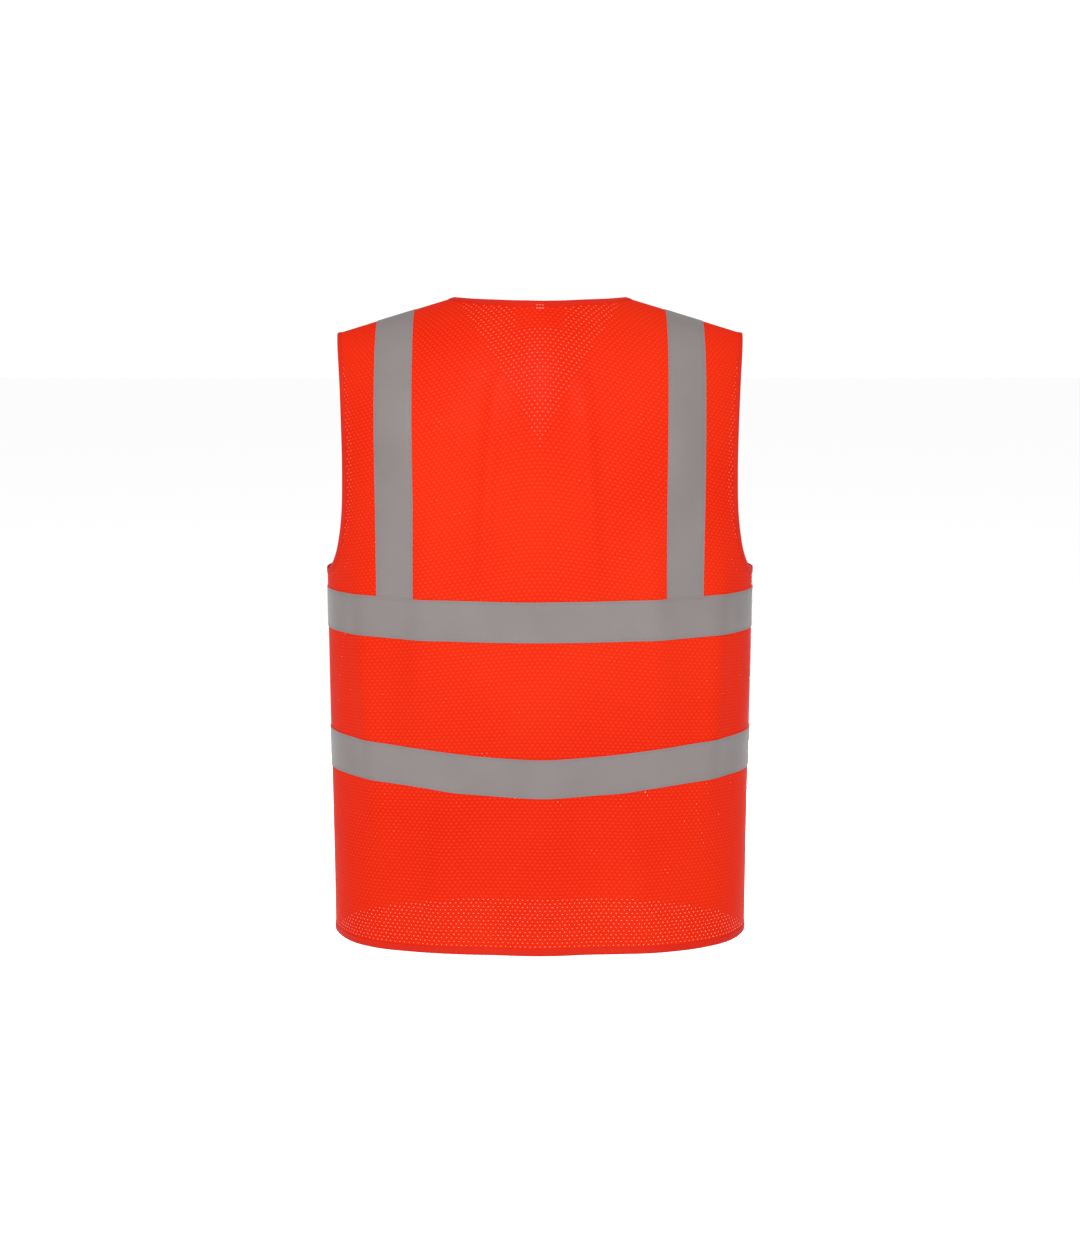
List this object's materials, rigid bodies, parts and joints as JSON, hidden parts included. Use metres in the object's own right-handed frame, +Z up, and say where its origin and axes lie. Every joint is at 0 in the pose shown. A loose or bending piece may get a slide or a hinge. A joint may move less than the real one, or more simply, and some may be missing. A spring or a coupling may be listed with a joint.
{
  "type": "high visibility vest",
  "caption": "Sleeveless open-mesh safety vest with reflective bands and braces over the shoulders, bound edges and a front with touch fastening.",
  "frame": {"origin": "where the vest rests on the shoulders: midway between the two points where the neck edge meets the shoulder seams", "axes": "+Z up as worn, -Y the front of the vest, +X the wearer's left"},
  "size_m": [0.5398, 0.2865, 0.8089],
  "materials": {
    "mesh_fabric": "fluorescent red-orange polyester open mesh, matt",
    "reflective_tape": "silver-grey retroreflective tape, fine glass-bead surface",
    "binding": "plain-woven polyester binding in the body colour",
    "hook_tape": "nylon hook side of touch fastening",
    "loop_tape": "nylon loop side of touch fastening, fuzzy",
    "label": "white woven label, blank"
  },
  "bodies": {
    "root": {"back_panel": "mesh_fabric", "back_hem_binding": "binding", "back_neck_binding": "binding", "back_left_armhole_binding": "binding", "back_right_armhole_binding": "binding", "back_upper_band": "reflective_tape", "back_lower_band": "reflective_tape", "back_left_brace": "reflective_tape", "back_right_brace": "reflective_tape", "neck_label": "label", "care_label": "label"},
    "left_front": {"left_front_panel": "mesh_fabric", "left_front_hem_binding": "binding", "left_front_armhole_binding": "binding", "left_front_edge_binding": "binding", "left_front_upper_band": "reflective_tape", "left_front_lower_band": "reflective_tape", "left_front_brace": "reflective_tape", "top_hook_patch": "hook_tape", "middle_hook_patch": "hook_tape", "bottom_hook_patch": "hook_tape"},
    "right_front": {"right_front_panel": "mesh_fabric", "right_front_hem_binding": "binding", "right_front_armhole_binding": "binding", "right_front_edge_binding": "binding", "right_front_upper_band": "reflective_tape", "right_front_lower_band": "reflective_tape", "right_front_brace": "reflective_tape", "top_loop_patch": "loop_tape", "middle_loop_patch": "loop_tape", "bottom_loop_patch": "loop_tape"}
  },
  "joints": [
    {"name": "left_front_open", "type": "hinge", "parent": "root", "child": "left_front", "pos_m": [0.2725, 0, -0.4], "axis": [0, 0, 1], "range_deg": [0, 70]},
    {"name": "right_front_open", "type": "hinge", "parent": "root", "child": "right_front", "pos_m": [-0.2725, 0, -0.4], "axis": [0, 0, -1], "range_deg": [0, 49]}
  ],
  "couplings": [
    {"joint": "right_front_open", "follows": "left_front_open", "ratio": 0.7}
  ]
}
